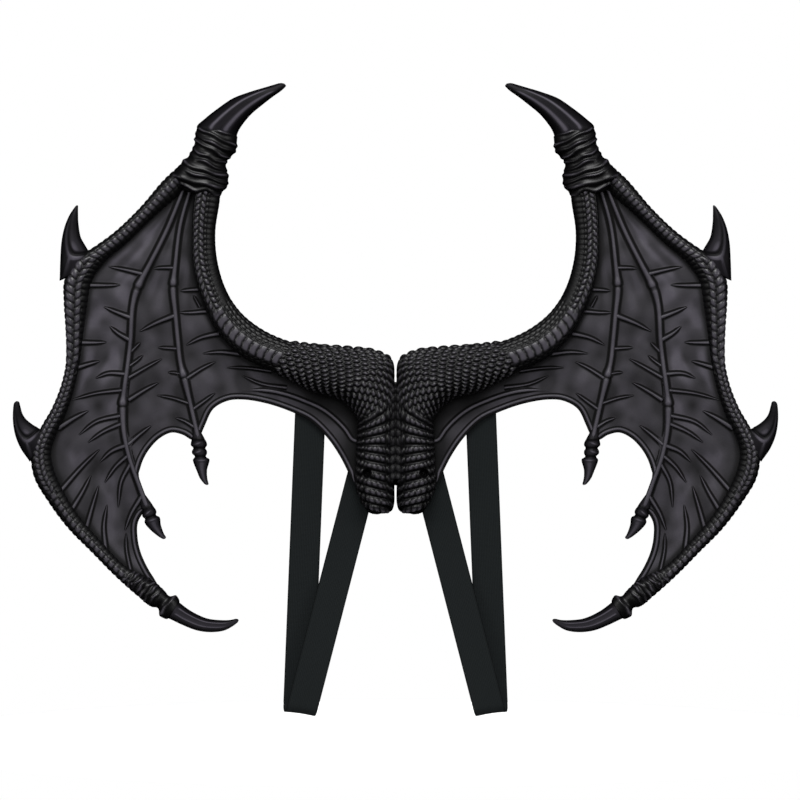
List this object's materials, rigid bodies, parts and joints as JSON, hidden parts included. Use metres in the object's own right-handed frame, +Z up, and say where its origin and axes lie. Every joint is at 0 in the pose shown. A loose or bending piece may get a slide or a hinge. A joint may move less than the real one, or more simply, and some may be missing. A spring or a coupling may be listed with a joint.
{
  "type": "costume dragon wings",
  "caption": "Moulded dragon wings with scaled arm bones, clawed fingers and scalloped membranes, joined at the hub and worn on the back by elastic shoulder loops.",
  "frame": {"origin": "on the plane of the hubs' flat backs, midway between the hubs and at their middle height, where the wings sit on the wearer's back", "axes": "+X across the back towards the wearer's right, +Y from the wings towards the wearer, +Z up"},
  "size_m": [0.6462, 0.0378, 0.5377],
  "materials": {
    "scales": "satin black moulded foam with raised scales",
    "skin": "satin black moulded foam with wrinkles",
    "claw": "satin black moulded foam with long ridges",
    "membrane": "matte charcoal moulded foam sheet with raised veins",
    "elastic": "black woven elastic",
    "rivet": "plain black"
  },
  "bodies": {
    "root": {"centre_joint": "scales", "left_arm": "scales", "left_finger_bone": "scales", "left_wrist_cuff": "skin", "left_tip_cuff": "skin", "left_thumb_claw": "claw", "left_tip_claw": "claw", "left_upper_spur": "claw", "left_lower_spur": "claw", "left_rib_inner": "skin", "left_rib_outer": "skin", "left_rib_inner_claw": "claw", "left_rib_outer_claw": "claw", "left_membrane": "membrane", "left_strap": "elastic", "left_strap_rivet_upper": "rivet", "left_strap_rivet_lower": "rivet", "right_arm": "scales", "right_finger_bone": "scales", "right_wrist_cuff": "skin", "right_tip_cuff": "skin", "right_thumb_claw": "claw", "right_tip_claw": "claw", "right_upper_spur": "claw", "right_lower_spur": "claw", "right_rib_inner": "skin", "right_rib_outer": "skin", "right_rib_inner_claw": "claw", "right_rib_outer_claw": "claw", "right_membrane": "membrane", "right_strap": "elastic", "right_strap_rivet_upper": "rivet", "right_strap_rivet_lower": "rivet"}
  },
  "joints": []
}
